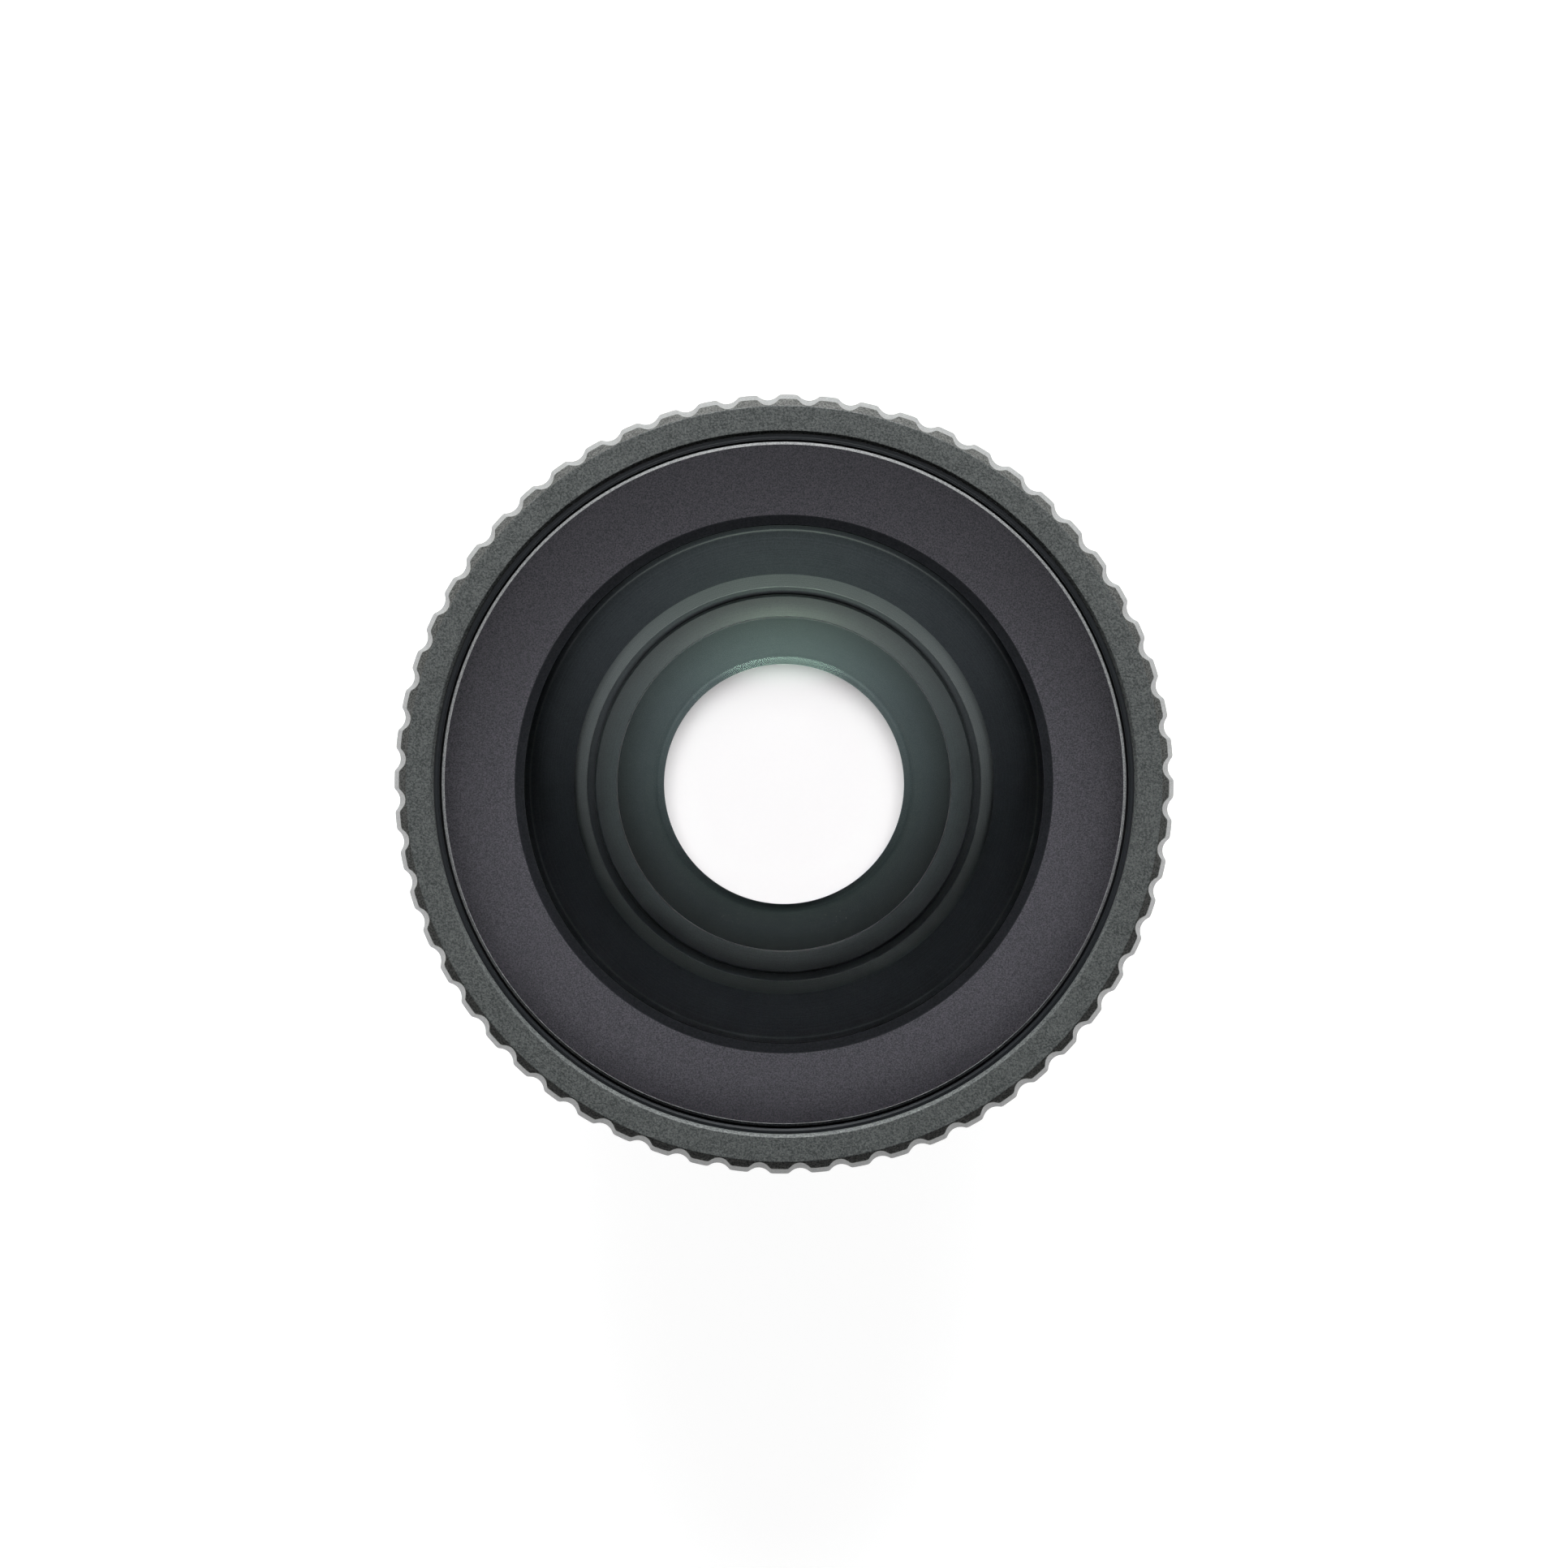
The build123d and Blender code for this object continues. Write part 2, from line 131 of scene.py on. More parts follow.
def backgroundRays(tree):
    # 1 for the rays that show the white ground from the camera, off metal and through glass,
    # and 0 after a diffuse bounce, where the ground lights the object
    path = addNode(tree, "ShaderNodeLightPath")
    total = addNode(tree, "ShaderNodeMath", {"operation": "ADD"},
                    {0: path.outputs["Is Camera Ray"], 1: path.outputs["Is Glossy Ray"]})
    total = addNode(tree, "ShaderNodeMath", {"operation": "ADD", "use_clamp": True},
                    {0: total.outputs[0], 1: path.outputs["Is Transmission Ray"]})
    direct = addNode(tree, "ShaderNodeMath", {"operation": "LESS_THAN", 1: 0.5},
                     {0: path.outputs["Diffuse Depth"]})
    seen = addNode(tree, "ShaderNodeMath", {"operation": "MULTIPLY"},
                   {0: total.outputs[0], 1: direct.outputs[0]})
    return seen.outputs[0]


def makeSurround():
    scene.world = bpy.data.worlds.new("whiteSurround")
    scene.world.use_nodes = True
    tree = scene.world.node_tree
    tree.nodes.clear()
    level = addNode(tree, "ShaderNodeMapRange", {"To Min": studio["fill"], "To Max": 1.0},
                    {"Value": backgroundRays(tree)})
    light = addNode(tree, "ShaderNodeBackground", {"Color": (1, 1, 1, 1)},
                    {"Strength": level.outputs[0]})
    addNode(tree, "ShaderNodeOutputWorld", links={"Surface": light.outputs[0]})


def stageNewest(name, material, scale=(1, 1, 1), seen=False):
    # names the floor, flag or softbox that was added last; it is no piece of the lens
    thing = bpy.context.object
    thing.name = name
    thing.scale = scale
    thing.data.materials.append(material)
    thing.visible_camera = seen
    thing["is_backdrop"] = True


def makeFloor():
    material, tree = newMaterial("whitePaperFloor")
    paper = addNode(tree, "ShaderNodeBsdfDiffuse", {"Color": linear(studio["floorGrey"])})
    strength = addNode(tree, "ShaderNodeMath", {"operation": "MULTIPLY", 1: studio["floorGlow"]},
                       {0: backgroundRays(tree)})
    glow = addNode(tree, "ShaderNodeEmission", {"Color": (1, 1, 1, 1)},
                   {"Strength": strength.outputs[0]})
    both = addNode(tree, "ShaderNodeAddShader", links={0: paper.outputs[0], 1: glow.outputs[0]})
    finishMaterial(tree, both)
    bpy.ops.mesh.primitive_circle_add(vertices=128, radius=studio["floorRadius"], fill_type="NGON")
    stageNewest("floor", material, seen=True)


def makeFlags():
    # the room behind and round the camera is dark, so polished glass shows no veil
    material, tree = newMaterial("darkCloth")
    finishMaterial(tree, addNode(tree, "ShaderNodeBsdfDiffuse", {"Color": linear(studio["clothGrey"])}))
    bpy.ops.mesh.primitive_circle_add(vertices=64, radius=studio["flagRadius"], fill_type="NGON",
                                      location=(0, 0, studio["flagHeight"]))
    stageNewest("cameraFlag", material)
    for name, (x, y) in studio["cards"].items():
        bpy.ops.mesh.primitive_plane_add(size=1, location=(x, y, studio["cardHeight"]),
                                         rotation=(np.pi / 2, 0, np.arctan2(x, -y)))
        stageNewest(name, material, studio["cardSize"])


def makeMainSoftbox():
    # it fades to its edges, so its reflection has no hard outline
    box = studio["mainSoftbox"]
    material, tree = newMaterial("softboxCloth")
    place = addNode(tree, "ShaderNodeTexCoord").outputs["Object"]
    reach = addNode(tree, "ShaderNodeVectorMath", {"operation": "LENGTH"}, {0: place})
    fade = addNode(tree, "ShaderNodeMapRange", {
        "interpolation_type": "SMOOTHSTEP", "From Min": box["fade"][0], "From Max": box["fade"][1],
        "To Min": box["radiance"], "To Max": 0.0}, {"Value": reach.outputs["Value"]})
    finishMaterial(tree, addNode(tree, "ShaderNodeEmission", links={"Strength": fade.outputs[0]}))
    tilt = np.radians(box["tilt"])
    y, z = np.sin(tilt) * box["distance"], np.cos(tilt) * box["distance"] + cadHigh.z
    bpy.ops.mesh.primitive_plane_add(size=1, rotation=(-tilt, 0, 0), location=(0, y, z))
    stageNewest("mainSoftbox", material, box["size"])


def makeLamps():
    for name, (tilt, turned, distance, width, height, radiance) in studio["softboxes"].items():
        lamp = bpy.data.lights.new(name, "AREA")
        lamp.shape = "RECTANGLE"
        lamp.size, lamp.size_y = width, height
        lamp.energy = radiance * np.pi * width * height
        tilt, turned = np.radians(tilt), np.radians(turned)
        away = np.array([-np.sin(tilt) * np.sin(turned), np.sin(tilt) * np.cos(turned), np.cos(tilt)])
        holder = addToScene(name, lamp)
        holder.location = away * distance + np.array([0, 0, cadHigh.z])
        holder.rotation_euler = (-tilt, 0, turned)

    # what the coated glass throws back falls on the rings as a soft green patch
    glow = studio["coatingGlow"]
    lamp = bpy.data.lights.new("coatingGlow", "SPOT")
    lamp.spot_size, lamp.spot_blend, lamp.shadow_soft_size = np.radians(glow["cone"]), 1.0, glow["lamp"]
    lamp.energy, lamp.color = glow["power"], linear(glow["colour"])[:3]
    holder = addToScene("coatingGlow", lamp)
    holder.location = glow["place"]
    away = Vector(glow["place"]) - Vector(glow["aim"]) * mm
    holder.rotation_euler = away.to_track_quat("Z", "Y").to_euler()


def makeCamera():
    # on the optical axis, straight in front of the lens
    view = studio["camera"]
    data = bpy.data.cameras.new("camera")
    data.sensor_width = view["sensor"]
    data.lens = view["sensor"] * view["distance"] / (view["pixels"] * view["pixelSize"] * mm)
    data.clip_start, data.clip_end = view["clip"]
    scene.camera = addToScene("camera", data)
    scene.camera.location = (0, 0, cadHigh.z + view["distance"])


scene.view_settings.view_transform = "Standard"
makeSurround()
makeFloor()
makeFlags()
makeMainSoftbox()
makeLamps()
makeCamera()
print("studio ready")


# Finishes. Grain, lines and specks are in millimetres.

metalLook = {
    "metallic": 0.2, "specular": 0.4, "roughness": 0.4, "glossSpread": 0.06,
    "grain": 0.1, "grainDepth": 0.006, "speckRange": (0.36, 0.66),
    "line": 0.1, "lineDepth": 0.003, "lineShare": 0.5, "lineRange": (0.3, 0.7),
    "cloud": 2.0, "cloudShare": 0.25,
}
# real blasting is finer; 0.13 mm is the finest grain that still shows in the render
blastedLook = {"metallic": 0.1, "grain": 0.13, "cloud": 1.6, "lineShare": 0.0, "lineDepth": 0.0}
groundLook = {"grit": 0.08, "gritDepth": 0.004, "mottleRange": (0.35, 0.65), "specular": 0.1,
              "roughness": 0.6}


def roundTheAxis(tree, place, lineWidth):
    # 1D noise that follows the tool round the axis: its place is 1.4 times the radius plus Z,
    # and the unlike weights keep a slope of 45 degrees from losing its lines
    flat = addNode(tree, "ShaderNodeVectorMath", {"operation": "MULTIPLY", 1: (1.4, 1.4, 0)}, {0: place})
    radius = addNode(tree, "ShaderNodeVectorMath", {"operation": "LENGTH"}, {0: flat.outputs[0]})
    height = addNode(tree, "ShaderNodeSeparateXYZ", links={0: place})
    total = addNode(tree, "ShaderNodeMath", {"operation": "ADD"},
                    {0: radius.outputs["Value"], 1: height.outputs["Z"]})
    lines = addNode(tree, "ShaderNodeTexNoise",
                    {"noise_dimensions": "1D", "Scale": 1 / (lineWidth * mm), "Detail": 2.0},
                    {"W": total.outputs[0]})
    return lines.outputs["Fac"]


def twoColours(tree, look, place, share):
    # from dark to light by a share, and where the look says fade, the colour falls to a part of itself
    # from the inner radius to the outer one; this fade is painted shade
    colour = addNode(tree, "ShaderNodeMix",
                     {"data_type": "RGBA", 6: linear(look["dark"]), 7: linear(look["light"])},
                     {0: share}).outputs[2]
    if "fade" not in look:
        return colour
    innerR, outerR, part = look["fade"]
    flat = addNode(tree, "ShaderNodeVectorMath", {"operation": "MULTIPLY", 1: (1, 1, 0)}, {0: place})
    radius = addNode(tree, "ShaderNodeVectorMath", {"operation": "LENGTH"}, {0: flat.outputs[0]})
    level = addNode(tree, "ShaderNodeMapRange", {
        "From Min": innerR * mm, "From Max": outerR * mm, "To Min": 1.0, "To Max": part},
        {"Value": radius.outputs["Value"]})
    faded = addNode(tree, "ShaderNodeMix", {"data_type": "RGBA", "blend_type": "MULTIPLY", 0: 1.0},
                    {6: colour, 7: level.outputs[0]})
    return faded.outputs[2]


def metal(name, **changes):
    # Anodised, blackened or bare metal that was turned, bead-blasted or both. It has a soft
    # metallic sheen; blasting breaks it into fine light and dark specks, and turning leaves
    # lines round the axis.
    look = {**metalLook, **changes}
    material, tree = newMaterial(name)
    place = addNode(tree, "ShaderNodeTexCoord").outputs["Object"]
    grain = addNode(tree, "ShaderNodeTexNoise",
                    {"Scale": 1 / (look["grain"] * mm), "Detail": 2.0, "Roughness": 0.6},
                    {"Vector": place})
    cloud = addNode(tree, "ShaderNodeTexNoise",
                    {"Scale": 1 / (look["cloud"] * mm), "Detail": 3.0}, {"Vector": place})
    lines = roundTheAxis(tree, place, look["line"])
    low, high = look["speckRange"]
    speck = addNode(tree, "ShaderNodeMapRange", {"From Min": low, "From Max": high},
                    {"Value": grain.outputs["Fac"]})
    low, high = look["lineRange"]
    stripe = addNode(tree, "ShaderNodeMapRange", {"From Min": low, "From Max": high}, {"Value": lines})
    tone = addNode(tree, "ShaderNodeMix", {0: look["lineShare"]},
                   {2: speck.outputs[0], 3: stripe.outputs[0]})
    tone = addNode(tree, "ShaderNodeMix", {0: look["cloudShare"]},
                   {2: tone.outputs[0], 3: cloud.outputs["Fac"]})
    colour = twoColours(tree, look, place, tone.outputs[0])
    gloss = addNode(tree, "ShaderNodeMapRange",
                    {"To Min": look["roughness"] + look["glossSpread"],
                     "To Max": look["roughness"] - look["glossSpread"]}, {"Value": tone.outputs[0]})
    rise = addNode(tree, "ShaderNodeMath", {"operation": "MULTIPLY", 1: look["grainDepth"] * mm},
                   {0: grain.outputs["Fac"]})
    height = addNode(tree, "ShaderNodeMath", {"operation": "MULTIPLY_ADD", 1: look["lineDepth"] * mm},
                     {0: lines, 2: rise.outputs[0]})
    bump = addNode(tree, "ShaderNodeBump", {"Strength": 1.0, "Distance": 1.0},
                   {"Height": height.outputs[0]})
    shader = addNode(tree, "ShaderNodeBsdfPrincipled",
                     {"Metallic": look["metallic"], "Specular IOR Level": look["specular"]},
                     {"Base Color": colour, "Roughness": gloss.outputs[0], "Normal": bump.outputs[0]})
    finishMaterial(tree, shader)
    return material


def polishedGlass(name, ior, coating):
    # optical glass under a broadband coating, which turns its reflection faintly green
    material, tree = newMaterial(name)
    shader = addNode(tree, "ShaderNodeBsdfPrincipled", {
        "Base Color": linear("FFFFFF"), "Roughness": 0.0, "Transmission Weight": 1.0, "IOR": ior,
        "Specular Tint": linear(coating)})
    finishMaterial(tree, shader)
    return material


def coatedBowl(name, ior):
    # the coating of the deep bowl lets light through and mirrors next to none of it
    material, tree = newMaterial(name)
    shader = addNode(tree, "ShaderNodeBsdfRefraction",
                     {"Color": linear("FFFFFF"), "Roughness": 0.0, "IOR": ior})
    finishMaterial(tree, shader)
    return material


def dullGrit(name, **changes):
    # fine-ground glass, inked black or left bare, or a matt black film: dull, with specks of grit
    look = {**groundLook, **changes}
    material, tree = newMaterial(name)
    place = addNode(tree, "ShaderNodeTexCoord").outputs["Object"]
    mottle = addNode(tree, "ShaderNodeTexNoise",
                     {"Scale": 1 / (look["mottle"] * mm), "Detail": 3.0, "Roughness": 0.7},
                     {"Vector": place})
    low, high = look["mottleRange"]
    spread = addNode(tree, "ShaderNodeMapRange", {"From Min": low, "From Max": high},
                     {"Value": mottle.outputs["Fac"]})
    colour = twoColours(tree, look, place, spread.outputs[0])
    grit = addNode(tree, "ShaderNodeTexNoise", {"Scale": 1 / (look["grit"] * mm), "Detail": 1.0},
                   {"Vector": place})
    rise = addNode(tree, "ShaderNodeMath", {"operation": "MULTIPLY", 1: look["gritDepth"] * mm},
                   {0: grit.outputs["Fac"]})
    bump = addNode(tree, "ShaderNodeBump", {"Strength": 1.0, "Distance": 1.0},
                   {"Height": rise.outputs[0]})
    shader = addNode(tree, "ShaderNodeBsdfPrincipled",
                     {"Roughness": look["roughness"], "Specular IOR Level": look["specular"]},
                     {"Base Color": colour, "Normal": bump.outputs[0]})
    finishMaterial(tree, shader)
    return material


finishes = {
    # the ring's face: a dull dark grey that sparkles finely
    "gripBlasted": metal("blastedAnodisedAluminium", **blastedLook, dark="3A3E3E", light="787C7B",
                         specular=0.25, roughness=0.5, grainDepth=0.03),
    # the leaning side: cut last, so it catches the light as a bright band
    "gripEdge": metal("lightCutAluminium", **blastedLook, dark="343837", light="666A68",
                      specular=0.35, roughness=0.36, grainDepth=0.01),
    # the front bevel: a darker cut that shows each flute's start
    "gripBevel": metal("darkCutAluminium", **blastedLook, dark="2C2E2D", light="6C6D6B",
                       specular=0.1, roughness=0.5, grainDepth=0.02),
    # the barrels and the mount ring: satin black with fine lines round the axis
    "barrelTurned": metal("turnedAnodisedAluminium", dark="26292A", light="3E4243", metallic=0.4,
                          roughness=0.38, cloud=3.0, line=0.08, lineShare=0.7, lineDepth=0.004),
    # the rear cell and its clamp ring: a lighter turned grey
    "innerTurned": metal("turnedBlackAluminium", dark="4A5051", light="646A6A"),
    # the clamp ring: near black, so it frames the glass
    "clampTurned": metal("satinBlackAluminium", dark="16181A", light="24272A", specular=0.15,
                         roughness=0.45),
    # cut threads and steps: a mid grey. In the rear cell's groove it is darker than the cell, partly the
    # cut thread and partly painted shade; on the inner baffle's step it is lighter than the wall, a
    # painted highlight
    "threadTurned": metal("threadedBlackAluminium", dark="34383A", light="484D4F", specular=0.25,
                          roughness=0.45),
    # the retaining ring's slope: smoother, and darker towards its outer edge, which is painted shade
    "slopeTurned": metal("glossBlackAluminium", dark="2D3334", light="444C4D", fade=(15.9, 17.6, 0.58),
                         metallic=0.1, roughness=0.36),
    # the recess: matt black that swallows light
    "wallTurned": metal("mattBlackAluminium", dark="22272A", light="3B3F43", metallic=0.1, specular=0.25,
                        roughness=0.5, grain=0.12, grainDepth=0.01, line=0.12, lineDepth=0.004),
    "crownGlass": polishedGlass("coatedCrownGlass", 1.62, "5E7A6C"),
    "bowlGlass": coatedBowl("coatedBowlGlass", 1.62),
    "flintGlass": polishedGlass("coatedFlintGlass", 1.72, "5E7A6C"),
    # the cemented faces mirror nothing
    "crownCemented": polishedGlass("cementedCrownGlass", 1.62, "000000"),
    "flintCemented": polishedGlass("cementedFlintGlass", 1.72, "000000"),
    # ink on ground glass: soft greys with a purple cast. The darker skin on the bowl's edge is no ink
    # but painted shade, where total internal reflection leaves the glass dark
    "inkedGround": dullGrit("inkedGroundGlass", dark="646B70", light="88808C", mottle=0.2, specular=0.3),
    # the rim's fade, darker towards its outer edge, is painted shade: the grip's lip shadows the rim's
    # outer part
    "inkedRim": dullGrit("inkedGroundRim", dark="36393D", light="625F66", fade=(19.5, 25.3, 0.78),
                         mottle=0.1),
    "bowlEdgeShade": dullGrit("paintedShadeBowlEdge", dark="232528", light="303236", mottle=0.16, gritDepth=0.002),
    # bare ground glass: a pale frosted line
    "bareGround": dullGrit("bareGroundGlass", dark="606264", light="A2A4A4", mottle=0.12, grit=0.06,
                           specular=0.5, roughness=0.45),
    # the rear cone: a chemically blackened sheet, cloudy; its darkening away from the exit is painted
    # shade, and its teal tint is a painted reflection of the coated glass's green glow
    "blackBrass": metal("blackenedBrass", dark="4A585A", light="5E6B6B", fade=(12.0, 16.0, 0.4),
                        specular=0.28, roughness=0.5, cloud=1.5, line=0.15, lineShare=0.3),
    # film and rubber rings: flat black
    "softBlack": dullGrit("blackPolyesterFilm", dark="121314", light="1C1D1E", mottle=0.3, grit=0.1,
                          gritDepth=0.003, specular=0.4),
    # screws: oiled black steel, which glints
    "screwSteel": metal("blackenedSteel", dark="1E1E20", light="343436", metallic=0.8, specular=0.5,
                        roughness=0.35, grainDepth=0.004, cloud=0.8, lineShare=0.1, lineDepth=0.0),
    # the shim: bare yellow brass
    "shimBrass": metal("shimBrass", dark="8A6B32", light="B08D4A", metallic=1.0, specular=0.5,
                       roughness=0.35, grainDepth=0.003, lineShare=0.2, lineDepth=0.001),
}

keptNodes = {
    "barrelTurned": ("front_barrel", "rear_barrel"),
    "innerTurned": ("cell_clamp_ring",),
    "softBlack": ("front_seat_gasket", "barrel_joint_gasket", "doublet_pad_ring", "bezel_o_ring"),
    "screwSteel": ("mount_screws", "bezel_lock_screws"),
    "shimBrass": ("rear_cell_shim",),
}
for finish, names in keptNodes.items():
    for name in names:
        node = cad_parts[name]
        node.data.materials.clear()
        node.data.materials.append(finishes[finish])
print("finishes ready:", len(finishes))


# Surfaces. From here on lengths are in millimetres.

turnSegments = 360


def evenAngles(count):
    return np.linspace(0, fullTurn, count, endpoint=False)


def roundedOutline(corners, radii, arcPoints=5):
    # Each corner of a closed outline becomes a quadratic curve between the two points that lie
    # one radius along its sides: (1-u)^2 A + 2u(1-u) C + u^2 B. Corners may carry leading axes.
    corners = np.asarray(corners, float)
    toLast = np.roll(corners, 1, -2) - corners
    toNext = np.roll(corners, -1, -2) - corners
    lastLength = np.linalg.norm(toLast, axis=-1, keepdims=True)
    nextLength = np.linalg.norm(toNext, axis=-1, keepdims=True)
    reach = np.broadcast_to(np.asarray(radii, float), corners.shape[:-1])[..., None]
    reach = np.minimum(reach, 0.45 * np.minimum(lastLength, nextLength))
    a = corners + toLast / np.maximum(lastLength, 1e-9) * reach
    b = corners + toNext / np.maximum(nextLength, 1e-9) * reach
    u = np.linspace(0, 1, arcPoints)[:, None]
    a, b, c = a[..., None, :], b[..., None, :], corners[..., None, :]
    points = (1 - u) ** 2 * a + 2 * u * (1 - u) * c + u**2 * b
    return points.reshape(*corners.shape[:-2], -1, 2)


def turn(outline, angles):
    # x = r cos t, y = r sin t, z = z for every angle t; an outline may differ from angle to angle
    outline = np.broadcast_to(outline, (len(angles), *outline.shape[-2:]))
    r, z = outline[..., 0], outline[..., 1]
    t = angles[:, None] if angles.ndim == 1 else angles
    return np.stack([r * np.cos(t), r * np.sin(t), z], -1)


def outwardNormals(points):
    # cross product of the central differences along both directions of a closed grid
    along = np.roll(points, -1, 0) - np.roll(points, 1, 0)
    down = np.roll(points, -1, 1) - np.roll(points, 1, 1)
    n = np.cross(down, along)
    return n / np.maximum(np.linalg.norm(n, axis=-1, keepdims=True), 1e-12)


def newPiece(name, points, corners, starts, kinds, bands):
    # a smooth mesh from its points, its faces' corners in one row, where each face starts in
    # that row, the finishes used, and which of them each face has
    mesh = bpy.data.meshes.new(name)
    mesh.vertices.add(len(points))
    mesh.vertices.foreach_set("co", (points * mm).astype(np.float32).ravel())
    mesh.loops.add(len(corners))
    mesh.loops.foreach_set("vertex_index", corners.astype(np.int32))
    mesh.polygons.add(len(starts))
    mesh.polygons.foreach_set("loop_start", starts.astype(np.int32))
    for kind in kinds:
        mesh.materials.append(finishes[kind])
    mesh.polygons.foreach_set("material_index", bands.astype(np.int32))
    mesh.update(calc_edges=True)
    mesh.polygons.foreach_set("use_smooth", np.ones(len(starts), bool))
    return addToScene(name, mesh)


def closedGrid(name, points, kinds, bands=None):
    # A torus-like grid of quads, closed both ways. The bands give the finish of each column.
    rows, columns = points.shape[:2]
    index = np.arange(rows * columns).reshape(rows, columns)
    right, below = np.roll(index, -1, 0), np.roll(index, -1, 1)
    quads = np.stack([index, below, np.roll(right, -1, 1), right], -1)
    bands = np.zeros(columns) if bands is None else bands
    piece = newPiece(name, points.reshape(-1, 3), quads.ravel(), np.arange(0, quads.size, 4), kinds,
                     np.tile(bands, rows))
    normals = outwardNormals(points).reshape(-1, 3)
    piece.data.normals_split_custom_set_from_vertices(normals.tolist())
    piece.data.validate()
    return piece


def lens(name, kinds, parts):
    # An outline from the axis round to the axis again is turned about Z, with one vertex at each
    # pole. Each part is points, normals and which finish; where two parts meet, the point that
    # both hold gives one sharp edge with two normals.
    outline, outlineNormals = (np.concatenate([part[i] for part in parts]) for i in (0, 1))
    partBands = np.repeat([part[2] for part in parts], [len(part[0]) for part in parts])
    apart = np.linalg.norm(np.diff(outline, axis=0), axis=1) > 1e-6
    ring = np.concatenate([[0], np.cumsum(apart)])
    middle = np.flatnonzero(apart)[1:-1]
    angles = evenAngles(turnSegments)
    ringPoints = turn(outline[np.concatenate([[True], apart])][1:-1], angles)
    count = ringPoints.shape[1]
    poles = turnSegments * count + np.array([0, 1])
    index = np.arange(turnSegments * count).reshape(turnSegments, count)
    index = np.concatenate([np.full((turnSegments, 1), poles[0]), index,
                            np.full((turnSegments, 1), poles[1])], 1)
    normal = turn(outlineNormals, angles)
    nextIndex, nextNormal = np.roll(index, -1, 0), np.roll(normal, -1, 0)
    a, b = ring[middle], ring[middle + 1]
    quads = np.stack([index[:, a], index[:, b], nextIndex[:, b], nextIndex[:, a]], -1)
    quadNormals = np.stack([normal[:, middle], normal[:, middle + 1],
                            nextNormal[:, middle + 1], nextNormal[:, middle]], 2)
    caps = np.concatenate([
        np.stack([index[:, 0], index[:, 1], nextIndex[:, 1]], -1),
        np.stack([index[:, -2], index[:, -1], nextIndex[:, -2]], -1),
    ])
    capNormals = np.concatenate([
        np.stack([normal[:, 0], normal[:, 1], nextNormal[:, 1]], 1),
        np.stack([normal[:, -2], normal[:, -1], nextNormal[:, -2]], 1),
    ])
    poleHeights = np.array([[0, 0, outline[0, 1]], [0, 0, outline[-1, 1]]])
    starts = np.concatenate([np.arange(quads.size // 4) * 4, quads.size + np.arange(len(caps)) * 3])
    bands = np.concatenate([np.tile(partBands[middle], turnSegments),
                            np.repeat(partBands[[0, -1]], turnSegments)])
    piece = newPiece(name, np.concatenate([ringPoints.reshape(-1, 3), poleHeights]),
                     np.concatenate([quads.ravel(), caps.ravel()]), starts, kinds, bands)
    normals = np.concatenate([quadNormals.reshape(-1, 3), capNormals.reshape(-1, 3)])
    piece.data.normals_split_custom_set(normals.tolist())
    piece.data.validate()
    return piece


def keep(piece, slot, *nodes):
    # the piece rides on the part's one body and stands for those nodes
    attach(piece, "root")
    if nodes:
        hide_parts(*nodes)


def sizeOf(node):
    # outer radius, lowest and highest point of a turned part
    low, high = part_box(node)
    return high.x / mm, low.z / mm, high.z / mm


def turnedPart(name, node, finish, slot, corners, special=None):
    # corners hold radius, height and rounding; special gives another finish to a corner and the
    # side after it
    corners = np.array(corners)
    outline = roundedOutline(corners[:, :2], corners[:, 2])
    kinds = [finish, *(special or {}).values()]
    bands = np.zeros(len(corners), int)
    for place, corner in enumerate(special or {}):
        bands[corner] = place + 1
    bands = np.repeat(bands, len(outline) // len(corners))
    keep(closedGrid(name, turn(outline, evenAngles(turnSegments)), kinds, bands), slot, node)


# Round pits in a grid: the lock screws' holes in the grip ring, the countersinks in the mount ring

pit = {
    "lines": (0, 0.25, 0.5, 0.7, 0.85, 0.91, 0.96, 1.0, 1.07, 1.15),  # shares of the pit's radius
    "blend": 0.15,  # past the rim the rings become the plain grid again over this share
    "near": 1.155, "clear": 1.16,  # the pit's own lines lie inside, all others outside
}
acrossPit = np.concatenate([pit["lines"][::-1], -np.array(pit["lines"][1:])])


def offBy(angles, centre):
    # the turn from a centre to each angle, between minus and plus half a turn
    return (angles - centre + np.pi) % fullTurn - np.pi


def anglesWithPits(angles, centres, unit):
    # the angles that are clear of every pit, and the pits' own lines; unit is a pit's radius
    free = angles[(np.abs(offBy(angles[:, None], centres)) > pit["clear"] * unit).all(1)]
    own = centres[:, None] + acrossPit[::-1] * unit
    return np.sort(np.concatenate([free, own.ravel()]) % fullTurn)


def roundPit(angles, centre, unit):
    # A square of grid lines round the pit becomes rings: a point whose larger coordinate is m
    # goes to the circle of radius m, and past the rim it comes back to its own place. Gives which
    # angles are near, their points in shares of the pit's radius, and m.
    off = offBy(angles, centre)
    near = np.abs(off) < pit["near"] * unit
    u, v = np.broadcast_arrays(off[near][:, None] / unit, acrossPit)
    m = np.maximum(np.abs(u), np.abs(v))
    share = m / np.maximum(np.hypot(u, v), 1e-9)
    scale = share + (1 - share) * np.clip((m - 1) / pit["blend"], 0, 1)
    return near, u * scale, v * scale, m


# Grip ring

grip = {
    "flutes": 60, "firstFlute": 2.35, "fluteRadius": 1.0, "fluteDepth": 0.4, "cornerBlend": 0.13,
    "fluteLines": (0, 0.4, 0.8, 1.1, 1.35, 1.5, 1.62, 1.8, 2.1),  # degrees from a flute's middle
    "leadHeight": 3.5, "leadAngle": 9.4, "frontBevel": 0.55, "rearBevel": 0.4, "leastBevel": 0.02,
    "lipThickness": 1.2, "lipR": 25.92, "lipChamfer": 0.22, "boreR": 27.35,
    "screws": 3, "screwHeight": 1.5, "screwHoleR": 0.85, "screwSeatR": 28.1,
}


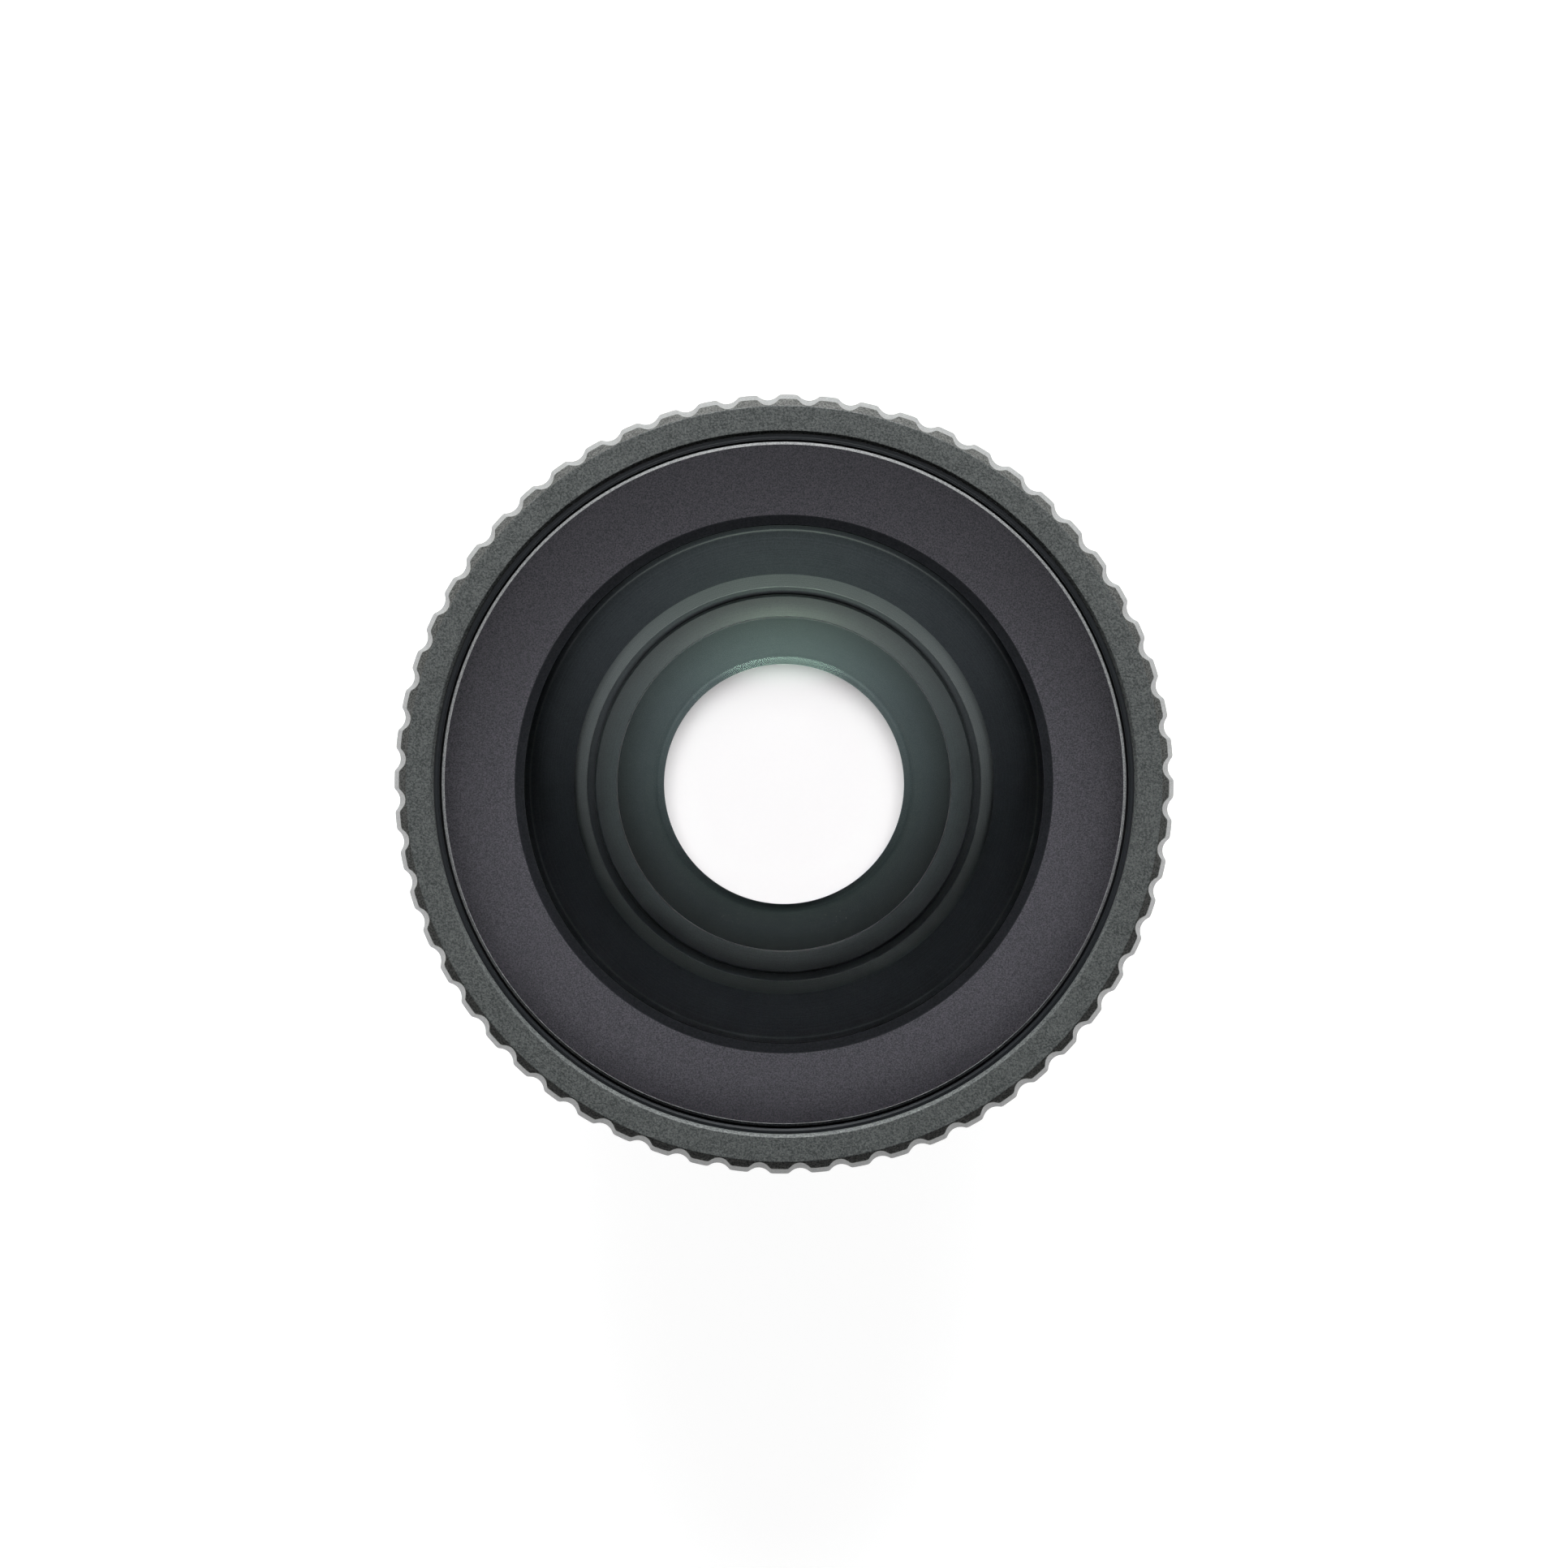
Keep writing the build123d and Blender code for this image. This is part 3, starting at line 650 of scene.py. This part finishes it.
def fluteRadiusAt(angle, gripR):
    # Distance from the axis to the flute's circle, c cos a - sqrt(f^2 - (c sin a)^2), blended
    # with the crest's radius by a soft minimum.
    pitch = fullTurn / grip["flutes"]
    a = (angle - np.radians(grip["firstFlute"]) + pitch / 2) % pitch - pitch / 2
    c = gripR - grip["fluteDepth"] + grip["fluteRadius"]
    flute = c * np.cos(a) - np.sqrt(np.maximum(grip["fluteRadius"] ** 2 - (c * np.sin(a)) ** 2, 0))
    return (flute + gripR - np.sqrt((flute - gripR) ** 2 + grip["cornerBlend"] ** 2)) / 2


def makeGrip():
    g = grip
    gripR, rear, top = sizeOf("grip_bezel")
    floorR = gripR - g["fluteDepth"]
    firstFlute, pitch = np.radians(g["firstFlute"]), fullTurn / g["flutes"]
    inPitch = np.radians(g["fluteLines"])
    inPitch = np.concatenate([-inPitch[:0:-1], inPitch, [pitch / 2]])
    angles = firstFlute + np.arange(g["flutes"])[:, None] * pitch + inPitch
    centres = firstFlute + np.arange(g["screws"]) * fullTurn / g["screws"]
    unit = g["screwHoleR"] / floorR
    angles = anglesWithPits(angles.ravel() % fullTurn, centres, unit)
    screwZ = rear + g["screwHeight"]
    rows = screwZ + g["screwHoleR"] * acrossPit

    wall = fluteRadiusAt(angles, gripR)
    lean = np.tan(np.radians(g["leadAngle"]))
    faceR = gripR - g["leadHeight"] * lean - g["frontBevel"] * (1 - lean)
    bevel = (wall - g["leadHeight"] * lean - faceR) / (1 - lean)
    behind = np.maximum(wall - floorR + g["rearBevel"] - g["fluteDepth"], g["leastBevel"])
    lipRear = top - g["lipThickness"]
    one = np.ones_like(wall)
    corners = [  # radius, height and rounding, from the lip outwards and round to it again
        (one * (g["lipR"] + g["lipChamfer"]), one * top, 0.05),
        (one * faceR, one * top, 0.06),
        (faceR + bevel, top - bevel, 0.08),
        (wall, one * (top - g["leadHeight"]), 0.5),
        (wall, rear + behind, 0.08),
        (wall - behind, one * rear, 0.08),
        (one * g["boreR"], one * rear, 0.1),
        (one * g["boreR"], one * lipRear, 0.1),
        (one * g["lipR"], one * lipRear, 0.08),
        (one * g["lipR"], one * (top - g["lipChamfer"]), 0.05),
    ]
    arcPoints = 4
    places = np.stack([np.stack(corner[:2], -1) for corner in corners], 1)
    outline = roundedOutline(places, [corner[2] for corner in corners], arcPoints)

    # the straight side behind the fourth corner gets the rows that the screw holes need
    split = 4 * arcPoints
    sides = np.stack(np.broadcast_arrays(wall[:, None], rows), -1)
    outline = np.concatenate([outline[:, :split], sides, outline[:, split:]], 1)
    t = np.broadcast_to(angles[:, None], outline.shape[:2]).copy()
    zone = slice(split, split + len(rows))
    for centre in centres:
        near, u, v, m = roundPit(angles, centre, unit)
        placed = centre + u * unit
        # inside the rim the hole's floor is the screw's seat
        r = np.where(m < 0.99, g["screwSeatR"], fluteRadiusAt(placed, gripR))
        t[near, zone] = placed
        outline[near, zone] = np.stack([r, screwZ + v * g["screwHoleR"]], -1)

    bands = np.zeros(outline.shape[1], int)
    leadStart = 2 * arcPoints + 2
    bands[leadStart - arcPoints:leadStart] = 2  # the front bevel
    bands[leadStart:leadStart + arcPoints] = 1  # the leaning side, from the bevel to the straight side
    ring = closedGrid("gripBezel", turn(outline, t), ("gripBlasted", "gripEdge", "gripBevel"), bands)
    keep(ring, "anodised_bezel", "grip_bezel")


# Mount ring

mountRing = {
    "threadR": 18.5, "threadPitch": 0.75, "threadDepth": 0.46, "threadLength": 3.5, "threadRows": 105,
    "waveHeight": 1.45, "waveDrop": 0.18,  # a triangle wave of this height is cut off flat at 0 and 1
    "reliefWidth": 0.55, "reliefRamp": 0.12, "reliefGap": 0.04,
    "chamfer": 0.35, "flangeChamfer": 0.3, "turnLines": 300,
    "tubeR": 17.2, "upperBoreR": 17.15, "floorHeight": 1.7, "floorTop": 3.3, "holeR": 13.47,
    "screws": 3, "screwCircleR": 15.8, "headR": 1.25, "shankR": 0.75,
}


def makeMountRing():
    g = mountRing
    flangeR, foot, top = sizeOf("mount_ring")
    centres = np.radians(90) + np.arange(g["screws"]) * fullTurn / g["screws"]
    unit = g["headR"] / g["screwCircleR"]
    angles = anglesWithPits(evenAngles(g["turnLines"]), centres, unit)

    # r = major radius less the depth times a trapezoid wave of z / pitch less the turn
    z = np.linspace(g["threadLength"] - g["reliefGap"], g["chamfer"] / 2, g["threadRows"])
    phase = (z / g["threadPitch"] - angles[:, None] / fullTurn) % 1
    wave = np.clip((1 - np.abs(2 * phase - 1)) * g["waveHeight"] - g["waveDrop"], 0, 1)
    relief = np.clip((z - (g["threadLength"] - g["reliefWidth"])) / g["reliefRamp"], 0, 1)
    r = g["threadR"] - g["threadDepth"] * np.maximum(wave, relief)
    thread = np.stack([np.minimum(r, g["threadR"] - g["chamfer"] + z - foot), z + 0 * r], -1)

    def side(*corners):
        # an open run of rounded corners, the same at every angle: radius, height and rounding
        corners = np.array(corners)
        run = roundedOutline(corners[:, :2], corners[:, 2], 4)
        return np.broadcast_to(run, (len(angles), *run.shape))

    outer = side((g["upperBoreR"], top, 0.05), (flangeR, top, 0.12),
                 (flangeR, g["threadLength"] + g["flangeChamfer"], 0.08),
                 (flangeR - g["flangeChamfer"], g["threadLength"], 0.08),
                 (g["threadR"] - g["threadDepth"], g["threadLength"], 0.001))
    end = side((g["threadR"] - g["chamfer"], foot, 0.05), (g["tubeR"], foot, 0.06),
               (g["tubeR"], g["floorHeight"], 0.001))
    hub = side((g["holeR"], g["floorHeight"], 0.12), (g["holeR"], g["floorTop"], 0.1),
               (g["upperBoreR"], g["floorTop"], 0.02))

    # the floor that the three countersinks are cut in
    rows = g["screwCircleR"] + g["headR"] * acrossPit
    floor = np.stack([rows, np.full_like(rows, g["floorHeight"])], -1)
    floor = np.tile(floor, (len(angles), 1, 1))
    t = np.broadcast_to(angles[:, None], floor.shape[:2]).copy()
    for centre in centres:
        near, u, v, m = roundPit(angles, centre, unit)
        t[near] = centre + u * unit
        sink = np.clip((1 - m) * g["headR"], 0, g["headR"] - g["shankR"])
        floor[near] = np.stack([g["screwCircleR"] + v * g["headR"], g["floorHeight"] + sink], -1)

    outline = np.concatenate([outer, thread, end, floor, hub], 1)
    allT = np.broadcast_to(angles[:, None], outline.shape[:2]).copy()
    start = outer.shape[1] + thread.shape[1] + end.shape[1]
    allT[:, start:start + len(rows)] = t
    ring = closedGrid("mountRing", turn(outline, allT), ("barrelTurned",))
    keep(ring, "anodised_barrel", "mount_ring")


makeGrip()
makeMountRing()
print("grip ring and mount ring ready")


# Rings inside

clampRing = {"sightR": 25.55, "chamfer": 0.15, "flange": 0.6, "overlap": 0.3}


def makeClampRing():
    # its conical foot bears on the front glass's bevel, and its flange lies under the grip's lip
    g = clampRing
    outer, foot, top = sizeOf("front_clamp_ring")
    glassR = sizeOf("front_element")[0]
    turnedPart("frontClampRing", "front_clamp_ring", "clampTurned", "anodised_inner", [
        (g["sightR"] + g["chamfer"], top, 0.04),
        (outer, top, 0.05),
        (outer, top - g["flange"], 0.05),
        (glassR, top - g["flange"], 0.05),
        (glassR, foot, 0.03),
        (g["sightR"], foot + g["overlap"], 0.03),
        (g["sightR"], top - g["chamfer"], 0.04),
    ])


innerBaffle = {"rimWidth": 2.3, "cover": 1.55, "shoulderR": 22.4, "shoulder": 17.2,
               "stepDown": 0.7, "step": 0.06, "stepLand": 0.08, "stepRise": 0.07}


def makeInnerBaffle():
    # a small turned step below the mouth shows as the thin light arc; its lighter finish is a painted
    # highlight
    g = innerBaffle
    outer, foot, top = sizeOf("inner_baffle")
    mouth, throat = outer - g["rimWidth"], sizeOf("rear_cell")[0] - g["cover"]
    stepR = mouth - g["stepDown"] * (mouth - throat) / (top - foot) - g["step"]
    stepZ = top - g["stepDown"]
    turnedPart("innerBaffle", "inner_baffle", "wallTurned", "anodised_inner", [
        (mouth, top, 0.1),
        (outer, top, 0.05),
        (outer, g["shoulder"], 0.05),
        (g["shoulderR"], g["shoulder"], 0.05),
        (g["shoulderR"], foot, 0.05),
        (throat, foot, 0.05),
        (stepR, stepZ, 0.03),
        (stepR + g["stepLand"], stepZ + g["stepRise"], 0.03),
    ], {6: "threadTurned"})


rearCell = {"rim": 2.1, "relief": 1.1, "leadIn": 0.15, "threadR": 17.9, "boreR": 17.05,
            "jointHeight": 11.496, "seatR": 16.2, "seatRadius": 200.0, "lift": 0.4}


def makeRearCell():
    # the doublet's rear face rests on the seat, and the groove outside the retaining ring is
    # the relief above the thread; the groove's darker grey is partly painted shade
    g = rearCell
    outer, foot, top = sizeOf("rear_cell")
    seat = foot + g["lift"] + g["seatRadius"] - np.sqrt(g["seatRadius"] ** 2 - g["seatR"] ** 2)
    turnedPart("rearCell", "rear_cell", "innerTurned", "anodised_inner", [
        (outer - g["rim"], top, 0.07),
        (outer, top, 0.08),
        (outer, foot, 0.08),
        (g["seatR"], foot, 0.08),
        (g["seatR"], seat, 0.03),
        (g["boreR"], seat, 0.03),
        (g["boreR"], g["jointHeight"], 0.03),
        (g["threadR"], g["jointHeight"], 0.03),
        (g["threadR"], top - g["relief"], 0.05),
        (outer - g["rim"], top - g["leadIn"], 0.08),
    ], {8: "threadTurned", 9: "threadTurned"})


retainingRing = {"land": 0.3, "boreR": 17.05, "padOuterR": 17.0, "padR": 16.3, "openR": 15.85,
                 "lip": 0.3, "crownRadius": 55.0, "pad": 0.32, "crowned": 0.04}


def makeRetainingRing():
    g = retainingRing
    outer, foot, top = sizeOf("doublet_retaining_ring")
    crown = sizeOf("doublet_crown")[2]

    def over(r):
        # the pad's top at a radius: the glass's sphere, a seat gap and the pad itself
        return crown - g["crownRadius"] + np.sqrt(g["crownRadius"] ** 2 - r**2) + g["pad"]

    landR, lipTop = outer - g["land"], over(g["openR"]) + g["lip"]
    turnedPart("doubletRetainingRing", "doublet_retaining_ring", "slopeTurned", "anodised_inner", [
        (landR, top, 0.06),
        (outer, top - g["land"], 0.06),
        (outer, foot, 0.05),
        (g["boreR"], foot, 0.05),
        (g["boreR"], over(g["padOuterR"]), 0.03),
        (g["padR"], over(g["padR"]), 0.03),
        (g["openR"], over(g["openR"]), 0.03),
        (g["openR"], lipTop, 0.06),
        ((g["openR"] + landR) / 2, (lipTop + top) / 2 + g["crowned"], 0.4),
    ])


rearBaffle = {"exitR": 11.55, "lip": 0.67, "lipTop": 2.6, "sheet": 0.3, "seatR": 16.2, "seamHeight": 6.9}


def makeRearBaffle():
    # a pressed cone: flange under the rear cell, and a flat lip round the exit
    g = rearBaffle
    outer, foot, top = sizeOf("rear_baffle")
    footR = g["exitR"] + g["lip"]
    slope = (g["seatR"] - footR) / (top - g["lipTop"])
    width = g["sheet"] * np.hypot(1, slope)
    turnedPart("rearBaffle", "rear_baffle", "blackBrass", "blackened_brass", [
        (g["seatR"], top, 0.1),
        (outer, top, 0.05),
        (outer, g["seamHeight"], 0.05),
        (footR + (g["seamHeight"] - g["lipTop"]) * slope + width, g["seamHeight"], 0.35),
        (footR + (foot - g["lipTop"]) * slope + width, foot, 0.5),
        (g["exitR"], foot, 0.08),
        (g["exitR"], g["lipTop"], 0.08),
        (footR, g["lipTop"], 0.35),
    ])


makeClampRing()
makeInnerBaffle()
makeRearCell()
makeRetainingRing()
makeRearBaffle()
print("inner rings ready")


# Glass

def sphereProfile(crown, radius, reach, count):
    # z = crown - (R - sqrt(R^2 - r^2)) with a signed radius, and the sphere's own normal
    r = np.linspace(0, reach, count)
    size, sign = abs(radius), np.sign(radius)
    z = crown - sign * (size - np.sqrt(size**2 - r**2))
    n = np.stack([sign * r / size, np.sqrt(1 - (r / size) ** 2)], -1)
    return np.stack([r, z], -1), n


def straight(start, end, normal):
    # a straight run of an outline, with one normal along it
    return np.array([start, end]), np.array([normal, normal], float)


frontGlass = {
    "bevel": 0.65, "rearBevel": 0.3, "frontRadius": 180.0, "bowlRadius": 30.0, "bowlR": 19.74,
    "frontRings": 60, "bowlRings": 90,
    "seatGap": 0.01,  # the ink's face stands clear of the gasket
    "skin": 0.02, "skinWidth": 0.19, "skinInner": 0.03, "skinOuter": 0.05, "skinBase": 0.03,
    # the bowl's edge, from 19.04 mm out to the bowl's rim, gets a dark skin that is painted shade; only
    # the flat rim gets real ink
    "bowlShadeR": 19.04, "bowlShadeRings": 8, "shadeOnBowl": (0.014, 0.04), "inkOnRim": (0.01, 0.03), "inkInset": 0.02,
}


def makeFrontElement():
    g = frontGlass
    glassR, rear, crown = sizeOf("front_element")
    rear += g["seatGap"]
    bevelR, rimR = glassR - g["bevel"], glassR - g["rearBevel"]
    bowlCrown = rear + g["bowlRadius"] - np.sqrt(g["bowlRadius"] ** 2 - g["bowlR"] ** 2)
    front, frontN = sphereProfile(crown, g["frontRadius"], bevelR, g["frontRings"])
    bowl, bowlN = sphereProfile(bowlCrown, g["bowlRadius"], g["bowlR"], g["bowlRings"])
    edge = front[-1, 1]
    root = np.sqrt(0.5)
    parts = [
        (front, frontN, 0),
        (*straight((bevelR, edge), (glassR, edge - g["bevel"]), (root, root)), 1),
        (*straight((glassR, edge - g["bevel"]), (glassR, rear + g["rearBevel"]), (1, 0)), 2),
        (*straight((glassR, rear + g["rearBevel"]), (rimR, rear), (root, -root)), 2),
        (*straight((rimR, rear), (g["bowlR"], rear), (0, -1)), 2),
        (bowl[::-1], -bowlN[::-1], 3),
    ]
    glass = lens("frontElement", ("crownGlass", "softBlack", "inkedGround", "bowlGlass"), parts)
    keep(glass, "optical_glass", "front_element")

    # the matt skin of the ground bevel, which shows as a bright line round the glass
    skinTop, footR = edge + g["skin"], bevelR + g["skinWidth"]
    skin = roundedOutline([
        (bevelR - g["skinInner"], skinTop),
        (bevelR, skinTop),
        (footR, skinTop - g["skinWidth"]),
        (footR - g["skinOuter"], edge + g["skinBase"] - g["skinWidth"]),
    ], (0.01, 0.2, 0.01, 0.01))
    angles = evenAngles(turnSegments)
    keep(closedGrid("frontElementBevel", turn(skin, angles), ("bareGround",)), "optical_glass")

    # the ink on the flat rim behind the glass, seen through the glass, and a darker skin on the edge of
    # the bowl, which is no ink but painted shade where total internal reflection leaves the glass dark
    r = np.linspace(g["bowlShadeR"], g["bowlR"], g["bowlShadeRings"])
    height = np.sqrt(g["bowlRadius"] ** 2 - r**2)
    bowlEdge = np.stack([r, bowlCrown - g["bowlRadius"] + height], -1)
    n = np.stack([r, height], -1) / g["bowlRadius"]
    bowlLow, bowlHigh = g["shadeOnBowl"]
    rimLow, rimHigh = g["inkOnRim"]
    flat = np.array([(rimR - g["inkInset"], rear + rimHigh), (rimR - g["inkInset"], rear + rimLow)])
    inkAndShade = np.concatenate([bowlEdge + bowlHigh * n, flat, (bowlEdge + bowlLow * n)[::-1]])
    bands = np.repeat([0, 1, 0], [g["bowlShadeRings"] - 1, 3, g["bowlShadeRings"]])
    inkAndShadeSkin = closedGrid("frontElementInk", turn(inkAndShade, angles), ("bowlEdgeShade", "inkedRim"), bands)
    keep(inkAndShadeSkin, "optical_glass")


doublet = {"frontRadius": 55.0, "cementRadius": -70.0, "rearRadius": -200.0, "cement": 0.004,
           "rings": 60, "rearRings": 40}


def makeDoublet():
    g = doublet
    r, cementZ, crownZ = sizeOf("doublet_crown")
    rear = sizeOf("doublet_flint")[1]
    front, frontN = sphereProfile(crownZ, g["frontRadius"], r, g["rings"])
    inside, insideN = sphereProfile(cementZ, g["cementRadius"], r, g["rings"])
    back, backN = sphereProfile(rear, g["rearRadius"], r, g["rearRings"])
    crown = lens("doubletCrown", ("crownGlass", "inkedGround", "crownCemented"), [
        (front, frontN, 0),
        (*straight(front[-1], inside[-1], (1, 0)), 1),
        (inside[::-1], -insideN[::-1], 2),
    ])
    keep(crown, "optical_glass", "doublet_crown")
    below = inside - np.array([0, g["cement"]])
    flint = lens("doubletFlint", ("flintGlass", "inkedGround", "flintCemented"), [
        (below, insideN, 2),
        (*straight(below[-1], back[-1], (1, 0)), 1),
        (back[::-1], -backN[::-1], 0),
    ])
    keep(flint, "optical_glass", "doublet_flint")


makeFrontElement()
makeDoublet()
print("glass ready")


# Polished glass stops a lamp's shadow rays. So each linked lamp is shaded only by opaque things,
# and lights only what is named beside it.

glassNames = ("frontElement", "doubletCrown", "doubletFlint")
insideNames = ("innerBaffle", "rearCell", "doubletRetainingRing", "rearBaffle", "doublet_pad_ring",
               "frontClampRing")
opaqueNames = [piece.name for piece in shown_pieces() if piece.name not in glassNames]
linkedLamps = {  # what the lamp lights, and what shades it
    "groundSoftbox": (("floor",), ("rearBaffle", "mountRing")),
    "innerSoftbox": (insideNames, opaqueNames),
    "innerFill": (insideNames, opaqueNames),
    "rimSoftbox": (("frontElementInk",), opaqueNames),
    "coatingGlow": (insideNames, opaqueNames),
    "bevelSoftbox": (("frontElementBevel",), ("floor",)),
}
for lamp, (lit, shading) in linkedLamps.items():
    for use, names in (("receiver", lit), ("blocker", shading)):
        group = bpy.data.collections.new(lamp + use.title())
        for name in names:
            group.objects.link(bpy.data.objects[name])
        setattr(bpy.data.objects[lamp].light_linking, use + "_collection", group)
